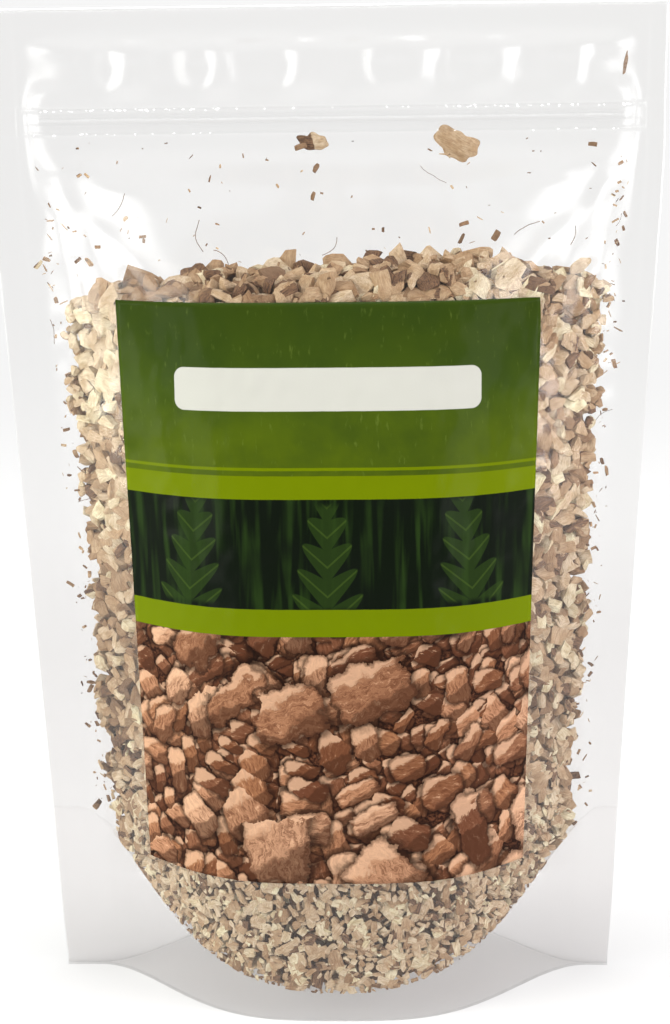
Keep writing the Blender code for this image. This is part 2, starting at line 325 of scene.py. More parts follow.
def root_pieces(g, place, under, spacing, seed, half, slim, share, shades):
    """One loose layer of chopped root over what lies under it: blocks turned every way, of half
    length half and down to slim times as wide, in a share of the cells."""
    apart = (seed * 37.0, seed * 53.0, 0)
    shifted = g.node("ShaderNodeMapping", {"Vector": place, "Location": apart}).outputs[0]
    wobble = g.node("ShaderNodeTexNoise", {"Vector": shifted, "Scale": 0.22, "Detail": 4.0, "Roughness": 0.6})
    sway = (0.7 * half, 0.7 * half, 0)
    bent = g.node("ShaderNodeVectorMath", {0: wobble.outputs["Color"], 1: sway, 2: shifted},
                  operation="MULTIPLY_ADD").outputs[0]
    cells = g.node("ShaderNodeTexVoronoi", {"Vector": bent, "Scale": 1 / spacing, "Randomness": 0.8},
                   voronoi_dimensions="2D")
    chance = g.node("ShaderNodeSeparateColor", {"Color": cells.outputs["Color"]})
    middle = g.node("ShaderNodeVectorMath", {0: cells.outputs["Position"], "Scale": 1.0},
                    operation="SCALE").outputs[0]
    offset = g.node("ShaderNodeVectorMath", {0: bent, 1: middle}, operation="SUBTRACT").outputs[0]
    angle = g.math("MULTIPLY", chance.outputs[0], 6.283)
    own = g.node("ShaderNodeVectorRotate", {"Vector": offset, "Angle": angle},
                 rotation_type="Z_AXIS").outputs[0]
    sides = g.node("ShaderNodeSeparateXYZ", {"Vector": own})
    length = g.math("MULTIPLY_ADD", chance.outputs[1], 0.3 * half, 0.7 * half)
    width = g.math("MULTIPLY", length, g.math("MULTIPLY_ADD", chance.outputs[2], 0.85 - slim, slim))
    along = g.math("DIVIDE", g.math("ABSOLUTE", sides.outputs[0]), length)
    across = g.math("DIVIDE", g.math("ABSOLUTE", sides.outputs[1]), width)
    reach = g.math("POWER", g.math("ADD", g.math("POWER", along, 4.5), g.math("POWER", across, 3.2)), 0.26)
    luck = g.math("FRACT", g.math("MULTIPLY", chance.outputs[0], 7.3))
    body = g.ramp(luck, shades)
    fibre = g.noise(g.scaled(own, (0.3, 1.6, 1)), 1.0, 4, 0.72, 0.5)
    body = g.mix(g.math("MULTIPLY", g.step(fibre, 0.44, 0.60), 0.7), body, srgb(88, 50, 32))
    body = g.mix(g.math("MULTIPLY", g.step(fibre, 0.42, 0.32), 0.6), body, srgb(212, 170, 136))
    light = g.node("ShaderNodeVectorMath", {0: offset, 1: (-0.5, 0.86, 0)}, operation="DOT_PRODUCT")
    rise = g.math("ADD", g.math("DIVIDE", light.outputs["Value"], width),
                  g.math("MULTIPLY", g.math("SUBTRACT", fibre, 0.5), 0.9))
    body = g.mix(g.math("MULTIPLY", g.step(rise, 0.45, 0.62), 0.55), body, srgb(214, 174, 142))
    body = g.mix(g.math("MULTIPLY", g.step(rise, -0.38, -0.52), 0.72), body, srgb(66, 38, 24))
    body = g.mix(g.math("MULTIPLY", g.step(reach, 0.86, 0.99), 0.6), body, srgb(62, 36, 24))
    there = g.math("LESS_THAN", g.math("FRACT", g.math("MULTIPLY", chance.outputs[1], 9.7)), share)
    cover = g.math("MULTIPLY", there, g.math("MULTIPLY_ADD", g.step(reach, 1.0, 1.04), -1, 1))
    shadow = g.math("MULTIPLY", there, g.math("MULTIPLY_ADD", g.step(reach, 1.02, 1.4), -0.75, 0.75))
    return g.mix(cover, g.mix(shadow, under, srgb(26, 14, 9)), body)


# The label's layout, in millimetres up from its foot: top of the picture bed, foot of the upper
# panel, and the blank strip's middle, half length, half height and corner radius
BED_TOP = 60
UPPER_FOOT = 98
STRIP_MIDDLE = 118
STRIP_HALF = 34
STRIP_RISE = 2.6
STRIP_CORNER = 2.4


def label_print():
    """Generic printed label: green panels, lime bands, a blank strip and a bed of chopped root."""
    g = Graph("label_print")
    uv = g.node("ShaderNodeUVMap", uv_map="print").outputs[0]
    wide = 2 * LABEL_HALF
    tall = LABEL_HIGH - LABEL_LOW
    place = g.scaled(uv, (wide, tall, 1))
    split = g.node("ShaderNodeSeparateXYZ", {"Vector": place})
    x, y = split.outputs[0], split.outputs[1]

    # Upper panel: mottled green, lighter towards its foot
    rise = g.step(y, 96, 140)
    green = g.ramp(rise, ((0.0, srgb(76, 92, 8)), (0.5, srgb(58, 76, 16)), (1.0, srgb(46, 62, 12))))
    cloud = g.noise(place, 0.045, 4, 0.6)
    green = g.mix(g.math("MULTIPLY", g.step(cloud, 0.35, 0.7), 0.5), green, srgb(36, 54, 16))
    fleck = g.noise(g.scaled(place, (1, 0.3, 1)), 0.8, 3, 0.6)
    green = g.mix(g.math("MULTIPLY", g.step(fleck, 0.6, 0.75), 0.22), green, srgb(112, 130, 56))

    # Middle panel: dark, with upright blades of different widths
    blades = g.noise(g.scaled(place, (0.42, 0.035, 1)), 1.0, 2, 0.5, 0.3)
    dark = g.mix(g.step(blades, 0.44, 0.7), srgb(10, 18, 8), srgb(32, 50, 18))
    dark = g.mix(g.step(g.noise(place, 0.06, 2, 0.5), 0.42, 0.75), dark, srgb(12, 18, 11))
    colour = g.mix(g.step(y, UPPER_FOOT - 0.1, UPPER_FOOT + 0.1), dark, green)

    # Sprigs in the middle panel: pairs of pointed leaves on a stem
    for centre, foot, lean in ((17, 67, 0.10), (51, 66, 0.0), (86, 67, -0.12)):
        up = g.math("SUBTRACT", y, foot)
        side = g.math("SUBTRACT", g.math("SUBTRACT", x, centre), g.math("MULTIPLY", up, lean))
        spread = g.math("ABSOLUTE", side)
        tip = g.math("SUBTRACT", up, g.math("MULTIPLY", spread, 0.9))
        wave = g.math("FRACT", g.math("DIVIDE", tip, 7.0))
        leaf = g.math("SINE", g.math("MULTIPLY", wave, math.pi))
        width = g.math("SUBTRACT", 1, g.math("DIVIDE", spread, g.math("ADD", 1.0, g.math(
            "MULTIPLY", leaf, g.math("SUBTRACT", 8.5, g.math("MULTIPLY", up, 0.22))))))
        inside = g.math("MULTIPLY", g.step(width, 0.0, 0.08),
                        g.math("MULTIPLY", g.step(up, 0, 1.5), g.math("SUBTRACT", 1, g.step(up, 24, 26))))
        vein = g.math("SUBTRACT", 1, g.step(g.math("ABSOLUTE", g.math("SUBTRACT", wave, 0.5)), 0.02, 0.06))
        tint = g.mix(vein, srgb(40, 60, 20), srgb(62, 84, 30))
        colour = g.mix(g.math("MULTIPLY", inside, 0.55), colour, tint)

    # Lower panel: a bed of chopped root, six layers deep
    crumbs = g.noise(place, 1.2, 4, 0.7)
    bed = g.mix(g.step(crumbs, 0.42, 0.6), srgb(40, 22, 15), srgb(92, 56, 38))
    dull = ((0.0, srgb(78, 46, 30)), (0.5, srgb(116, 76, 54)), (1.0, srgb(142, 98, 72)))
    warm = ((0.0, srgb(104, 64, 42)), (0.4, srgb(146, 100, 70)), (1.0, srgb(172, 126, 96)))
    pale = ((0.0, srgb(96, 58, 40)), (0.25, srgb(150, 106, 78)), (1.0, srgb(188, 146, 116)))
    for spacing, seed, half, slim, share, shades in (
            (5.5, 1, 3.4, 0.5, 1.0, dull), (7.0, 2, 4.2, 0.45, 1.0, dull),
            (8.0, 3, 4.4, 0.4, 0.9, warm), (10.0, 4, 5.6, 0.4, 0.8, warm),
            (12.0, 5, 6.4, 0.45, 0.7, pale), (20.0, 6, 11.0, 0.26, 0.5, pale)):
        bed = root_pieces(g, place, bed, spacing, seed, half, slim, share, shades)
    colour = g.mix(g.step(y, BED_TOP - 0.1, BED_TOP + 0.1), bed, colour)

    # Lime bands, straight across, and a blank strip
    for low, high in ((BED_TOP, 66.5), (92.5, UPPER_FOOT), (99.2, 99.9)):
        band = g.math("MULTIPLY", g.step(y, low - 0.1, low + 0.1),
                      g.math("SUBTRACT", 1, g.step(y, high - 0.1, high + 0.1)))
        colour = g.mix(band, colour, srgb(98, 114, 0))
    off_x, off_y = (
        g.math("MAXIMUM", g.math("SUBTRACT", g.math("ABSOLUTE", g.math("SUBTRACT", at, middle)), half), 0)
        for at, middle, half in ((x, wide / 2, STRIP_HALF), (y, STRIP_MIDDLE, STRIP_RISE)))
    corner = g.math("SQRT", g.math("MULTIPLY_ADD", off_x, off_x, g.math("MULTIPLY", off_y, off_y)))
    strip = g.math("SUBTRACT", 1, g.step(corner, STRIP_CORNER - 0.1, STRIP_CORNER + 0.1))
    colour = g.mix(strip, colour, srgb(186, 186, 178))

    fine = g.noise(place, 2.0, 2, 0.5)
    shader = g.node("ShaderNodeBsdfPrincipled", {
        "Base Color": colour, "Roughness": 0.6, "Specular IOR Level": 0.02, "Coat Weight": 0.06,
        "Coat Roughness": 0.15, "Normal": g.bump(fine, 0.00003, 0.5)})
    return g.finish(shader.outputs[0])


# Meshes


def new_piece(name, mesh, material, replaced=()):
    obj = bpy.data.objects.new(name, mesh)
    bpy.context.scene.collection.objects.link(obj)
    if material:
        mesh.materials.append(material)
    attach(obj, "root")
    if replaced:
        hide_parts(*replaced)
    return obj


def mesh_of(bm, name):
    mesh = bpy.data.meshes.new(name)
    bm.to_mesh(mesh)
    bm.free()
    return mesh


def read_places(mesh):
    flat = np.empty(len(mesh.vertices) * 3)
    mesh.vertices.foreach_get("co", flat)
    return flat.reshape(-1, 3)


def write_places(mesh, places):
    mesh.vertices.foreach_set("co", np.ascontiguousarray(places, dtype=np.float64).ravel())
    mesh.update()


def grid_mesh(name, columns, rows, shape, flip, uv=None):
    """A flat grid whose column and row numbers become places through shape(u, v)."""
    bm = bmesh.new()
    if uv:
        bm.loops.layers.uv.new(uv)
    bmesh.ops.create_grid(bm, x_segments=len(columns) - 1, y_segments=len(rows) - 1, size=0.5,
                          calc_uvs=bool(uv))
    if flip:
        bmesh.ops.reverse_faces(bm, faces=bm.faces)
    mesh = mesh_of(bm, name)
    flat = read_places(mesh)
    u = np.asarray(columns, float)[np.rint((flat[:, 0] + 0.5) * (len(columns) - 1)).astype(int)]
    v = np.asarray(rows, float)[np.rint((flat[:, 1] + 0.5) * (len(rows) - 1)).astype(int)]
    write_places(mesh, np.column_stack(shape(u, v)) * MM)
    mesh.shade_smooth()
    return mesh


def thicken(obj, thickness):
    shell = obj.modifiers.new("thickness", "SOLIDIFY")
    shell.thickness = thickness * MM
    shell.offset = 1


def bell(value, centre, width):
    return np.exp(-((value - centre) / width) ** 2)


def ridge(u, z, start, end, width, height):
    """A crease along a line on the film, fading out at its ends."""
    (u0, z0), (u1, z1) = start, end
    length = math.hypot(u1 - u0, z1 - z0)
    along = ((u - u0) * (u1 - u0) + (z - z0) * (z1 - z0)) / length
    off = ((z - z0) * (u1 - u0) - (u - u0) * (z1 - z0)) / length
    fade = np.clip(along / (0.3 * length), 0, 1) * np.clip((length - along) / (0.3 * length), 0, 1)
    return height * np.exp(-(off / width) ** 2) * fade * fade * (3 - 2 * fade)


class Ripples:
    """A few soft waves in random directions, the same in each run."""

    def __init__(self, seed, longest, shortest, count):
        rng = np.random.default_rng(seed)
        angle = rng.uniform(0, math.tau, count)
        length = np.exp(rng.uniform(math.log(shortest), math.log(longest), count))
        self.du = np.cos(angle) * math.tau / length
        self.dz = np.sin(angle) * math.tau / length
        self.phase = rng.uniform(0, math.tau, count)
        self.count = count

    def __call__(self, u, z):
        total = np.zeros(np.shape(u))
        for du, dz, phase in zip(self.du, self.dz, self.phase):
            total += np.sin(u * du + z * dz + phase)
        return total / math.sqrt(self.count)


lumps = Ripples(5, 9.0, 4.5, 14)
slack = Ripples(8, 48.0, 18.0, 9)

# The header's upright buckles: place, half width and slope of each, and the troughs between
BUCKLES = ((-51, 5.0, 0.27), (-29, 4.2, 0.29), (-9.5, 3.6, 0.31), (24, 3.4, -0.29), (43.5, 5.0, -0.27),
           (60, 2.8, -0.25))
TROUGHS = np.array((-62, -40, -19, 4, 33, 53, 66), float)
ALONG = np.linspace(-82, 82, 657)

# Area under exp(-t ** 4)
BUMP_AREA = 1.813


def buckled(along):
    """Height of the header's buckles, back at 0 in each trough. Each slope is raised by what the
    straight line from trough to trough takes off it."""
    spans = np.diff(TROUGHS)
    climb = sum(slope / (1 - BUMP_AREA * width / span) * np.exp(-((along - at) / width) ** 4)
                for (at, width, slope), span in zip(BUCKLES, spans))
    height = np.cumsum(climb) * (along[1] - along[0])
    return height - np.interp(along, TROUGHS, np.interp(TROUGHS, along, height))


BUCKLE = buckled(ALONG)


def creases(u, z, side):
    """How far the film stands out from its smooth shape, in millimetres."""
    inside = np.clip((INNER_HALF - np.abs(u)) / 6, 0, 1)
    inside = inside * inside * (3 - 2 * inside)
    filled = np.clip((z - seal_height(u)) / 8, 0, 1) * np.clip((178 - z) / 10, 0, 1)
    head = np.clip((z - 176) / 10, 0, 1) * np.clip((208 - z) / 6, 0, 1)
    out = inside * (filled * 0.07 * (1 + lumps(u, z)) + head * 0.25 * slack(u * side, z))
    # Upright buckles between the zip and the top seal
    header = np.clip((z - HEADER_LOW) / 5.5, 0, 1) * np.clip((HEADER_HIGH - z) / 4.6, 0, 1)
    end = np.clip((INNER_HALF - np.abs(u)) / 9, 0, 1)
    header = header * header * (3 - 2 * header) * end * end * (3 - 2 * end)
    level = HEADER_STAND - through(DEPTH, settled(z))
    off = (z - HEADER_MIDDLE) / 4.5
    buckle = np.interp(u * side - 0.6 * off + 0.5 * off * off, ALONG, BUCKLE)
    out = out + header * (level + np.clip(buckle, -0.2, 3) * (1 - 0.1 * off * off))
    # Slanting creases where the shoulders run from the flat zip into the bulge
    for hand in (-1, 1):
        out = out + inside * ridge(u * hand, z, (76, 208), (36, 168), 3.4, 0.7)
        out = out + inside * ridge(u * hand, z, (66, 209), (57, 150), 2.6, 0.5)
    # Weld lines of the zip tape, and the crushed ends of the zip
    for line, height in ((ZIP_LOW + 0.4, 0.16), (ZIP_HIGH - 0.3, 0.3), (213.6, 0.08)):
        out = out + height * bell(z, line, 0.4) * (np.abs(u) < INNER_HALF)
    crushed = (np.abs(u) > INNER_HALF) * np.clip((3.8 - np.abs(z - ZIP_MIDDLE)) / 0.6, 0, 1)
    out = out + crushed * (0.08 + 0.07 * np.sin(u * 6.0))
    # The inner edge of the side welds and of the top weld
    out = out + 0.12 * bell(np.abs(u), INNER_HALF + 0.6, 0.7) + 0.1 * bell(z, HEADER_HIGH, 0.6)
    return np.maximum(out, -0.3)


def rows_between(stations):
    """Heights from (height, step) stations, each step used up to the next height."""
    rows = []
    for (start, step), (end, _) in zip(stations, stations[1:]):
        count = max(1, round((end - start) / step))
        rows += [start + (end - start) * i / count for i in range(count)]
    return rows + [stations[-1][0]]


FILM_ROWS = rows_between(((0, 2), (6, 1.4), (178, 1.0), (209.5, 0.25), (218, 0.8), (238, 2), (240, 1)))
FILM_COLUMNS = np.array(rows_between(((-81.6, 0.45), (-73.5, 1.15), (73.5, 0.45), (78.4, 1))))


def film_shape(side, outward=0.0):
    """The film's place for each (u, z): side -1 is the front, +1 the back."""

    def shape(u, z):
        x, depth = film_place(u, z)
        stand = creases(u, z, -side) * (z > 2.5) * (z < 237) + outward
        return x, side * (depth + stand), z

    return shape


def build_film(name, side, material, node):
    mesh = grid_mesh(name, FILM_COLUMNS, FILM_ROWS, film_shape(side), flip=side > 0)
    obj = new_piece(name, mesh, material, [node])
    thicken(obj, FILM)
    return obj


def build_label(material):
    columns = np.linspace(LABEL_X - LABEL_HALF, LABEL_X + LABEL_HALF, 90)
    rows = np.linspace(LABEL_LOW, LABEL_HIGH, 116)
    base = film_shape(-1, FILM + 0.06)

    def shape(u, z):
        x, y, z = base(u, z)
        # The upper right corner has lifted a little.
        reach = np.clip(1 - np.hypot((LABEL_X + LABEL_HALF - u) / 9, (LABEL_HIGH - z) / 7), 0, 1)
        return x - 0.4 * reach ** 2, y - 1.6 * reach ** 2, z

    mesh = grid_mesh("label_sheet", columns, rows, shape, flip=False, uv="print")
    obj = new_piece("label_sheet", mesh, material, ["label"])
    thicken(obj, 0.12)
    return obj


def build_gusset(material):
    columns = FILM_COLUMNS
    flap = np.linspace(1.3, 1.0, 24)
    path = np.concatenate([-flap, np.linspace(-1, 1, 33)[1:-1], flap[::-1]])
    inset = 0.18 + FILM

    def shape(u, t):
        top = seal_height(u)
        x, depth = film_place(u, top)
        depth = depth - inset
        z = top - GUSSET_SAG * (1 - t * t) * np.minimum(depth / 20, 1)
        y = depth * t
        down = np.clip((np.abs(t) - 1) / 0.3, 0, 1)
        z_flap = 0.25 + (top - 0.25) * (1 - down)
        x_flap, depth_flap = film_place(u, z_flap)
        hanging = np.abs(t) >= 1
        return (np.where(hanging, x_flap, x), np.where(hanging, np.sign(t) * (depth_flap - inset), y),
                np.where(hanging, z_flap, z))

    mesh = grid_mesh("gusset_film", columns, path, shape, flip=False)
    obj = new_piece("gusset_film", mesh, material, ["bottom_gusset"])
    thicken(obj, FILM)
    return obj


# Chips of root


def chip_shapes(count, seed, proportions, cuts, smooth):
    """Base shapes: a block with its corners and edges split off by flat cuts, then relaxed."""
    rng = random.Random(seed)
    shapes = []
    for _ in range(count):
        bm = bmesh.new()
        bmesh.ops.create_cube(bm, size=2)
        for _ in range(rng.randint(*cuts)):
            normal = Vector([rng.gauss(0, 1) for _ in range(3)]).normalized()
            cut = bmesh.ops.bisect_plane(bm, geom=bm.verts[:] + bm.edges[:] + bm.faces[:], dist=1e-4,
                                         plane_co=normal * rng.uniform(0.7, 1.02), plane_no=normal,
                                         clear_outer=True)
            rim = [item for item in cut["geom_cut"] if isinstance(item, bmesh.types.BMEdge)]
            if rim:
                bmesh.ops.edgeloop_fill(bm, edges=rim)
        bmesh.ops.remove_doubles(bm, verts=bm.verts, dist=0.12)
        bmesh.ops.triangulate(bm, faces=bm.faces)
        bmesh.ops.smooth_vert(bm, verts=bm.verts, factor=smooth, use_axis_x=True, use_axis_y=True,
                              use_axis_z=True)
        curl, dent = rng.uniform(-0.35, 0.35), rng.uniform(-0.3, 0.3)
        for vert in bm.verts:
            vert.co.z += curl * vert.co.x * vert.co.x
            vert.co.y += dent * vert.co.x * vert.co.x
        bmesh.ops.scale(bm, vec=rng.choice(proportions), verts=bm.verts)
        bmesh.ops.recalc_face_normals(bm, faces=bm.faces)
        bm.verts.index_update()
        places = np.array([vert.co[:] for vert in bm.verts])
        faces = np.array([[vert.index for vert in face.verts] for face in bm.faces])
        skin = Vector((rng.gauss(0, 0.3), rng.gauss(0, 1), rng.gauss(0, 1))).normalized()
        barked = np.clip((places @ np.array(skin)) / 0.5, 0, 1)
        shapes.append((places, faces, barked))
        bm.free()
    return shapes


# How many base shapes, seed, proportions, number of cuts, and how far each shape is relaxed
PLUMP = chip_shapes(
    28, 3, ((1, 0.72, 0.5), (1, 0.8, 0.45), (1, 0.6, 0.5), (1, 0.85, 0.36), (1, 0.5, 0.4)), (8, 12), 0.18)
FLAKES = chip_shapes(
    20, 4, ((1, 0.72, 0.26), (1, 0.85, 0.22), (1, 0.5, 0.25), (1, 0.38, 0.3)), (5, 8), 0.2)
CRUMBS = chip_shapes(
    14, 6, ((1, 0.5, 0.3), (1, 0.3, 0.18), (1, 0.18, 0.12), (1, 0.13, 0.1)), (4, 7), 0.12)


def turned(rng, normals, tilt):
    """Rotations that lay each chip's thin side along its normal, give or take the tilt."""
    thin = normals + rng.normal(0, tilt, normals.shape)
    thin /= np.linalg.norm(thin, axis=1, keepdims=True)
    spin = rng.normal(0, 1, normals.shape)
    long_way = spin - (spin * thin).sum(1, keepdims=True) * thin
    long_way /= np.linalg.norm(long_way, axis=1, keepdims=True)
    return np.stack([long_way, np.cross(thin, long_way), thin], axis=2)


def write_looks(mesh, tone, bark, grain):
    """What the material of the chips reads: tone, share of bark and place in the grain."""
    for label, values in (("tone", tone), ("bark", bark)):
        mesh.attributes.new(label, "FLOAT", "POINT").data.foreach_set("value", values.astype(np.float32))
    mesh.attributes.new("grain", "FLOAT_VECTOR", "POINT").data.foreach_set(
        "vector", grain.astype(np.float32).ravel())


def scatter(name, rng, shapes, centres, turns, sizes, tones, bark_share, settle, replaced=(),
            sharp=32):
    """One mesh of many chips. settle(places) moves the chips' points to where they may be."""
    kinds = rng.integers(0, len(shapes), len(centres))
    has_bark = rng.random(len(centres)) < bark_share
    all_bark = rng.random(len(centres)) < bark_share * 0.22
    points, faces, tone, bark, grain = [], [], [], [], []
    offset = 0
    for kind, (shape, triangles, barked) in enumerate(shapes):
        chosen = np.flatnonzero(kinds == kind)
        stretch = rng.uniform(0.85, 1.15, (len(chosen), 1, 3))
        local = shape[None] * stretch * sizes[chosen, None, None]
        placed = settle(np.einsum("nij,nvj->nvi", turns[chosen], local) + centres[chosen, None])
        n, v = placed.shape[:2]
        points.append(placed.reshape(-1, 3))
        faces.append((triangles[None] + offset + np.arange(n)[:, None, None] * v).reshape(-1, 3))
        tone.append(np.repeat(tones[chosen], v))
        bark.append((barked[None] * has_bark[chosen, None] + all_bark[chosen, None]).clip(0, 1).ravel())
        grain.append((local + rng.uniform(-50, 50, (n, 1, 3))).reshape(-1, 3))
        offset += n * v
    points, faces = np.concatenate(points), np.concatenate(faces)
    mesh = bpy.data.meshes.new(name)
    mesh.vertices.add(len(points))
    mesh.loops.add(3 * len(faces))
    mesh.polygons.add(len(faces))
    mesh.loops.foreach_set("vertex_index", faces.ravel().astype(np.int32))
    mesh.polygons.foreach_set("loop_start", np.arange(0, 3 * len(faces), 3, dtype=np.int32))
    write_places(mesh, points * MM)
    mesh.update(calc_edges=True)
    write_looks(mesh, np.concatenate(tone), np.concatenate(bark), np.concatenate(grain))
    mesh.shade_smooth()
    mesh.set_sharp_from_angle(angle=math.radians(sharp))
    return new_piece(name, mesh, ROOT, replaced)


def tones_for(rng, count, low, high):
    return rng.beta(low, high, count)


def inside_bag(clearance, side=0):
    """Keeps points between the films and over the gusset. With a side, chips first slide up to
    that side's film."""

    def settle(placed):
        x, y, z = placed[..., 0], placed[..., 1], placed[..., 2]
        room = np.maximum(half_space(x, z) - clearance, 0.05)
        if side:
            y = y - side * ((side * y - room).max(axis=1, keepdims=True) - 0.45)
        y = np.clip(y, -room, room)
        return np.stack([x, y, np.maximum(z, arch_height(x) + 0.05)], axis=2)

    return settle


def behind_film(rng, side, pitch, edge, above):
    """Places over one film where chips lie: running length, height, x and half depth."""
    u, z = np.meshgrid(np.arange(-edge, edge, pitch), np.arange(4, 184, pitch * 0.88))
    u[1::2] += pitch / 2
    u = (u + rng.uniform(-0.4, 0.4, u.shape) * pitch).ravel()
    z = (z + rng.uniform(-0.4, 0.4, z.shape) * pitch).ravel()
    x, depth = film_place(u, z)
    ragged = edge - 1.6 + 1.8 * ragged_edge(np.sign(u) * 40, z)
    keep = (np.abs(u) < ragged) & (z > seal_height(u) + 0.8) & (z < heap_top(x, side * depth) + above)
    if side < 0:
        keep &= ~((np.abs(u - LABEL_X) < LABEL_HALF - 4) & (z > LABEL_LOW + 4) & (z < LABEL_HIGH - 5))
    return u[keep], z[keep], x[keep], depth[keep]


ragged_edge = Ripples(12, 30.0, 6.0, 8)


def build_side(name, seed, side):
    """Chips in two layers behind one film, the fines in the lower part."""
    rng = np.random.default_rng(seed)
    for number, (pitch, below, tilt) in enumerate(((3.3, 1.0, 0.3), (3.7, 3.4, 0.8))):
        u, z, x, depth = behind_film(rng, side, pitch, 67.6, 0.5)
        grade = np.interp(z, (5, 34, 60, 100, 170), (0.68, 0.74, 0.92, 1.05, 1.16))
        fines = rng.random(len(u)) < np.interp(z, (30, 60), (0.0, 0.12))
        size = grade * np.exp(rng.normal(0, 0.22, len(u))) * np.where(fines, 0.6, 1.0) * 2.55
        size = np.minimum(size, 0.9 + depth * 0.6)
        normal = np.column_stack([np.sign(u) * (np.abs(u) / 70) ** 2 * 0.4, np.full(len(u), side),
                                  np.full(len(u), 0.12)])
        inward = np.minimum(below, np.maximum(depth - 0.8, 0))
        centres = np.column_stack([x, side * (depth - inward), z])
        low = z < FLAKES_TO
        for part, chosen, shapes in (("upper", ~low, PLUMP), ("lower", low, FLAKES)):
            turns = turned(rng, normal[chosen], tilt)
            tones = tones_for(rng, chosen.sum(), *((2.1, 1.5) if part == "lower" else (1.7, 1.5)))
            # The upper left corner of the front is made the palest, with little bark: a painted highlight for
            # the film's glare there.
            corner = (side < 0) & (x[chosen] < -46) & (z[chosen] - x[chosen] * 0.9 > 193)
            tones = np.where(corner, 0.62 + 0.32 * tones, tones)
            scatter(f"{name}_{part}_{number + 1}", rng, shapes, centres[chosen], turns, size[chosen],
                    tones, np.where(corner, 0.04, 0.22), inside_bag(0.14, side if number == 0 else 0))


def build_fines(name, seed, side):
    """The small stuff at the foot of the bag, between the flakes."""
    rng = np.random.default_rng(seed)
    u, z, x, depth = behind_film(rng, side, 2.0, 67.0, 0)
    keep = (z < 48) | ((z < 70) & (rng.random(len(z)) < 0.3))
    u, z, x, depth = u[keep], z[keep], x[keep], depth[keep]
    size = np.minimum(np.exp(rng.normal(0, 0.25, len(u))) * 1.15, 0.7 + depth * 0.5)
    centres = np.column_stack([x, side * np.maximum(depth - 0.7, 0), z])
    normal = np.tile((0.0, float(side), 0.1), (len(u), 1))
    scatter(name, rng, FLAKES, centres, turned(rng, normal, 0.5), size,
            tones_for(rng, len(u), 3.0, 1.5), 0.15, inside_bag(0.14, side))


def build_heap(top_nodes):
    """The loose chips on top, in place of the coarse ones of the solid part."""
    rng = np.random.default_rng(21)
    pitch = 3.3
    x, y = np.meshgrid(np.arange(-64, 67, pitch), np.arange(-16, 17, pitch))
    x = np.tile((x + rng.uniform(-0.45, 0.45, x.shape) * pitch).ravel(), 2)
    y = np.tile((y + rng.uniform(-0.45, 0.45, y.shape) * pitch).ravel(), 2)
    level = np.repeat((0.0, 2.6), len(x) // 2)
    z = heap_top(x, y) + level + rng.uniform(-1.0, 1.0, len(x))
    keep = (np.abs(y) < half_space(x, z) - 0.6) & ((level == 0) | (rng.random(len(x)) < 0.75))
    x, y, z = x[keep], y[keep], z[keep]
    size = np.minimum(np.exp(rng.normal(0, 0.22, len(x))) * 2.95, 0.9 + half_space(x, z) * 0.7)
    up = np.tile((0.0, -0.45, 1.0), (len(x), 1))
    scatter("heap_chips", rng, PLUMP, np.column_stack([x, y, z]), turned(rng, up, 0.55), size,
            tones_for(rng, len(x), 1.9, 2.2), 0.34, inside_bag(0.14), top_nodes)


def build_core(material):
    """The inside of the filling, a few millimetres behind the outer chips. Its dark colour is painted shade
    for the deep gaps between the chips.
    """
    bm = bmesh.new()
    bmesh.ops.create_cube(bm, size=2)
    for axis, cells in ((0, 30), (1, 6), (2, 34)):
        normal = Vector((0, 0, 0))
        normal[axis] = 1
        for i in range(1, cells):
            bmesh.ops.bisect_plane(bm, geom=bm.verts[:] + bm.edges[:] + bm.faces[:], dist=1e-6,
                                   plane_co=normal * (2 * i / cells - 1), plane_no=normal)
    mesh = mesh_of(bm, "fill_core")
    across, deep, height = read_places(mesh).T
    z = 40 + (height + 1) * 65
    for _ in range(8):
        x = MIDDLE_X + across * chord_at(z) * run_to_share(np.full(len(z), 62.0), z)
        low = arch_height(x) + 1.6
        y = deep * np.maximum(half_space(x, np.maximum(z, low)) - 3.0, 0.15)
        z = low + (height + 1) / 2 * (heap_top(x, y) - 2.2 - low)
    write_places(mesh, np.column_stack([x, y, z]) * MM)
    mesh.shade_smooth()
    return new_piece("fill_core", mesh, material, ["root_fill"])


def build_flake(name, centre, half, tilt, seed, tone, split_bark=False, replaced=()):
    """One larger flake between the films near the zip: lumpy, with worn edges."""
    lump = Ripples(seed, 6.0, 1.6, 12)
    fine = Ripples(seed + 1, 1.6, 0.6, 10)
    bm = bmesh.new()
    bmesh.ops.create_icosphere(bm, subdivisions=5, radius=1)
    outline = Ripples(seed + 2, 3.5, 1.6, 5)
    for vert in bm.verts:
        x, y, z = vert.co
        reach = 1 + 0.16 * float(outline(x * 2, z * 2))
        square = max(abs(x), abs(z)) ** 0.25 if x or z else 1
        rough = 0.10 * float(lump(x * 3, z * 3)) + 0.05 * float(fine(x * 3, z * 3))
        outward = 1 if y > 0 else -1
        vert.co = Vector((x * reach / square * 0.95, (y + rough * outward) * 0.8, z * reach / square * 0.95))
    bmesh.ops.scale(bm, vec=half, verts=bm.verts)
    mesh = mesh_of(bm, name)
    local = read_places(mesh)
    turn = np.array(Matrix.Rotation(tilt, 3, "Y"))
    placed = inside_bag(0.12)((local @ turn.T + np.array(centre))[None])[0]
    write_places(mesh, placed * MM)
    bark = np.zeros(len(local))
    if split_bark:
        bark = np.clip(0.5 - (local[:, 0] + 0.3 * local[:, 2]) / 1.2, 0, 1)
    write_looks(mesh, np.full(len(local), tone), bark, local * 1.3 + seed)
    mesh.shade_smooth()
    return new_piece(name, mesh, ROOT, replaced)


